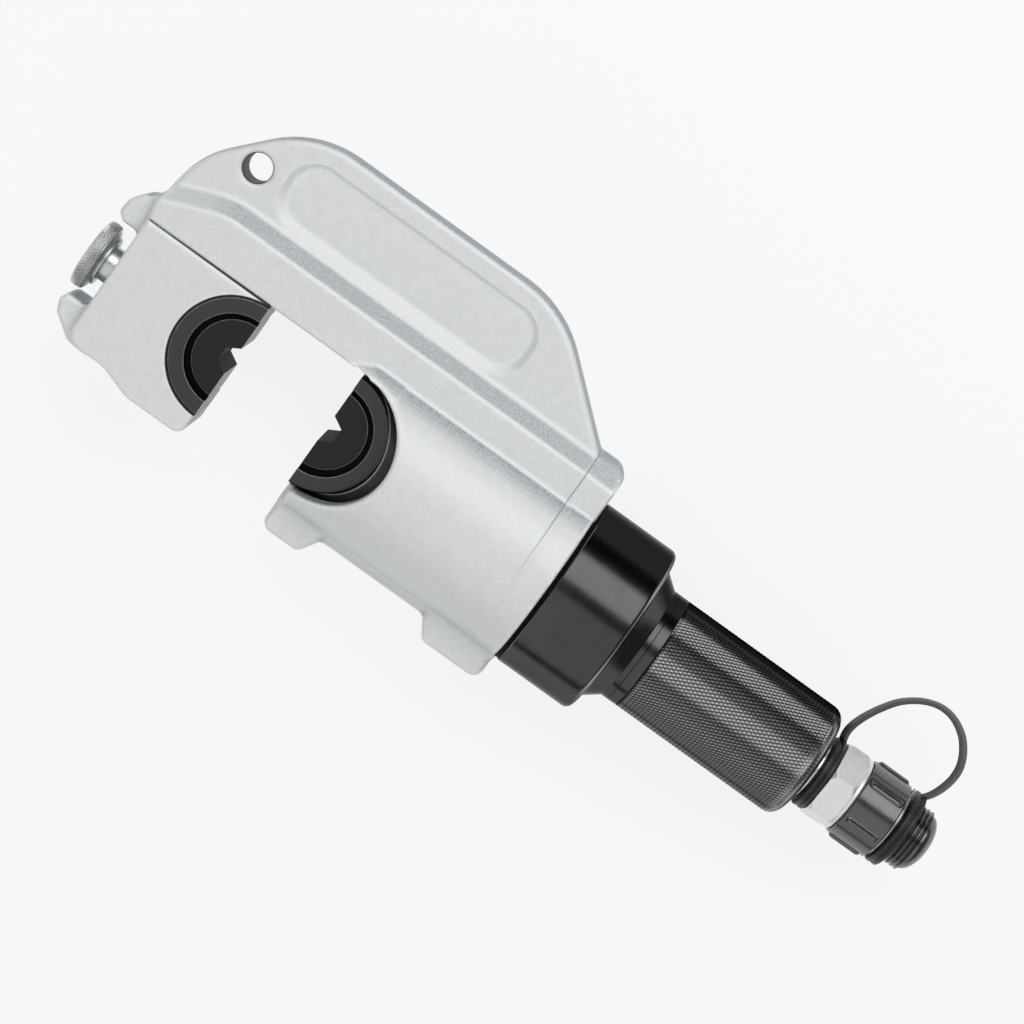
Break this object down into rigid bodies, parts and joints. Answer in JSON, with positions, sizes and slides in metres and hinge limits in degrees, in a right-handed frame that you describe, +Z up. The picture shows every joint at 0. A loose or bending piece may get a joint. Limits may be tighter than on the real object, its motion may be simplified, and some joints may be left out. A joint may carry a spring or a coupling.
{
  "type": "hydraulic crimping tool",
  "caption": "Hydraulic crimping head: forged C frame, spring-return ram, half-round hexagon dies, die latch, knurled handle, screw coupler and dust plug on a strap.",
  "frame": {"origin": "middle of the tool's box in x and y, on the level of its lowest line, as it lies on its side", "axes": "+X along the ram axis from the jaw to the coupler, +Y from the foot lugs to the spine, +Z up, square to the frame's plate"},
  "size_m": [0.3562, 0.1222, 0.066],
  "materials": {
    "forged_steel": "satin plated forging",
    "black_oxide": "black oxide, satin",
    "black_steel": "black, semi-gloss turned",
    "knurled_black": "black, diamond knurl",
    "bright_steel": "turned bright",
    "nickel_steel": "nickel plated",
    "black_plastic": "moulded, semi-matte",
    "strap_rubber": "matte rubber",
    "seal_rubber": "matte rubber",
    "ring_plastic": "matte",
    "spring_steel": "plain",
    "valve_brass": "turned"
  },
  "bodies": {
    "frame": {"c_frame": "forged_steel", "upper_die": "black_oxide", "latch_bush": "bright_steel", "latch_spring": "spring_steel", "cylinder_base": "black_steel", "base_gasket": "seal_rubber", "base_o_ring": "seal_rubber", "spring_rear_plug": "spring_steel", "return_spring": "spring_steel", "handle": "knurled_black", "handle_o_ring": "seal_rubber", "neck_washer": "bright_steel", "coupler_body": "nickel_steel", "thrust_ring": "nickel_steel", "nut_retaining_ring": "bright_steel", "poppet_guide": "valve_brass", "poppet_spring": "spring_steel", "cap_strap": "strap_rubber"},
    "ram": {"ram": "black_oxide", "guide_ring": "ring_plastic", "backup_ring": "ring_plastic", "piston_seal": "seal_rubber", "spring_front_plug": "spring_steel", "lower_die": "black_oxide", "detent_ball": "bright_steel", "detent_spring": "spring_steel"},
    "latch": {"latch_pin": "bright_steel", "latch_knob": "bright_steel", "knob_screw": "bright_steel"},
    "nut": {"coupler_nut": "black_plastic"},
    "plug": {"dust_plug": "black_plastic", "plug_o_ring": "seal_rubber"},
    "poppet": {"poppet": "valve_brass"}
  },
  "joints": [
    {"name": "ram_slide", "type": "slide", "parent": "frame", "child": "ram", "axis": [-1, 0, 0], "range_m": [0, 0.0387], "stiffness_N_per_m": 2000, "springref_m": -0.02, "deforming": ["return_spring"]},
    {"name": "latch_pull", "type": "slide", "parent": "frame", "child": "latch", "axis": [-1, 0, 0], "range_m": [0, 0.004], "stiffness_N_per_m": 600, "springref_m": -0.004, "deforming": ["latch_spring"]},
    {"name": "nut_spin", "type": "hinge", "parent": "frame", "child": "nut", "pos_m": [0.1534, -0.01845, 0.033], "axis": [1, 0, 0], "continuous": true},
    {"name": "plug_pull", "type": "slide", "parent": "frame", "child": "plug", "axis": [1, 0, 0], "range_m": [0, 0.02], "deforming": ["cap_strap"]},
    {"name": "poppet_slide", "type": "slide", "parent": "frame", "child": "poppet", "axis": [-1, 0, 0], "range_m": [0, 0.003], "stiffness_N_per_m": 400, "springref_m": -0.003, "deforming": ["poppet_spring"]}
  ]
}
